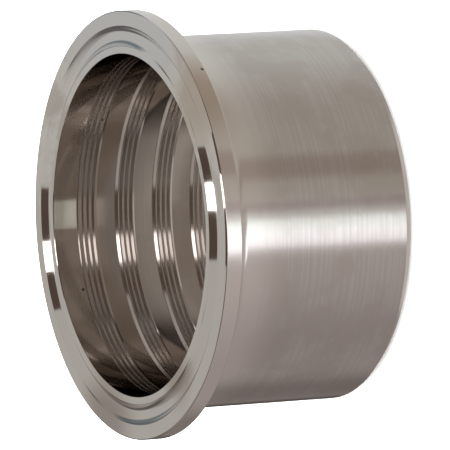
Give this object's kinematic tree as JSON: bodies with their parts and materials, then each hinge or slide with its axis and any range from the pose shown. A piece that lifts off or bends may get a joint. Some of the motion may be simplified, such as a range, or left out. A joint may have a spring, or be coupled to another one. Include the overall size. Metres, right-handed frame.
{
  "type": "roll-on hose ferrule",
  "caption": "Short turned stainless ferrule with a serrated bore for a hose or tube, a bevelled plain end and a clamp flange with a gasket groove.",
  "frame": {"origin": "centre of the plain end's face, on the bore axis", "axes": "+Z along the bore axis from the plain end to the clamp face; the part is round, so X and Y are free"},
  "size_m": [0.064, 0.064, 0.0334],
  "materials": {
    "turned_stainless": "fine turned barrel, smoother clamp face and bore"
  },
  "bodies": {
    "root": {"ferrule_body": "turned_stainless"}
  },
  "joints": []
}
